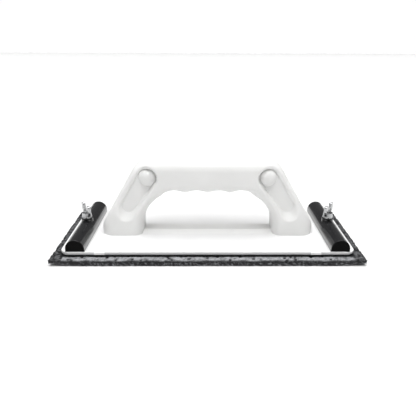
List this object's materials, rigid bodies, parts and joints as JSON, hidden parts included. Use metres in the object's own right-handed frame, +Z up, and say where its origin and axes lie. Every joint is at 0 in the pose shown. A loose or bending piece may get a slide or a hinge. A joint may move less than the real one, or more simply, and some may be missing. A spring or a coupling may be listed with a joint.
{
  "type": "hand rubbing float",
  "caption": "Hand float for rubbing flat surfaces: coarse slab under a white plate, closed D-handle with finger grooves, and end clamp bars tightened by wing nuts.",
  "frame": {"origin": "centre of the working face, on the surface the float rests on", "axes": "+X along the float, through both handle feet; +Y across it, away from the user's left-to-right view; +Z up, from the working face to the grip"},
  "size_m": [0.28, 0.115, 0.0842],
  "materials": {
    "white_plastic": "moulded white plastic, semi-matt with a soft sheen",
    "black_plastic": "black plastic, glossy, with a fine satin skin",
    "rubbing_slab": "resin-bonded coarse grit, light grey worn top with dark cracks, dark ragged edges",
    "foam_rubber": "closed-cell black foam rubber sheet",
    "zinc_steel": "bright zinc plating, slightly brushed",
    "black_steel": "black-finished steel washer"
  },
  "bodies": {
    "root": {"abrasive_slab": "rubbing_slab", "backing_pad": "foam_rubber", "base_plate": "white_plastic", "handle_front_shell": "white_plastic", "handle_rear_shell": "white_plastic", "front_left_cap": "white_plastic", "front_right_cap": "white_plastic", "rear_left_cap": "white_plastic", "rear_right_cap": "white_plastic", "shell_screws": "zinc_steel", "shell_nuts": "zinc_steel", "foot_screws": "zinc_steel", "left_clamp_bolt": "zinc_steel", "right_clamp_bolt": "zinc_steel"},
    "left_clamp": {"left_clamp_bar": "black_plastic", "left_washer": "black_steel"},
    "left_nut": {"left_wing_nut": "zinc_steel"},
    "right_clamp": {"right_clamp_bar": "black_plastic", "right_washer": "black_steel"},
    "right_nut": {"right_wing_nut": "zinc_steel"}
  },
  "joints": [
    {"name": "left_clamp_lift", "type": "slide", "parent": "root", "child": "left_clamp", "axis": [0, 0, 1], "range_m": [0, 0.003]},
    {"name": "left_nut_turn", "type": "hinge", "parent": "left_clamp", "child": "left_nut", "pos_m": [-0.1177, 0, 0.0232], "axis": [0, 0, 1], "range_deg": [0, 1350]},
    {"name": "right_clamp_lift", "type": "slide", "parent": "root", "child": "right_clamp", "axis": [0, 0, 1], "range_m": [0, 0.003]},
    {"name": "right_nut_turn", "type": "hinge", "parent": "right_clamp", "child": "right_nut", "pos_m": [0.1177, 0, 0.0232], "axis": [0, 0, 1], "range_deg": [0, 1350]}
  ],
  "couplings": [
    {"joint": "left_clamp_lift", "follows": "left_nut_turn", "m_per_rad": 0.00012732},
    {"joint": "right_clamp_lift", "follows": "right_nut_turn", "m_per_rad": 0.00012732}
  ]
}
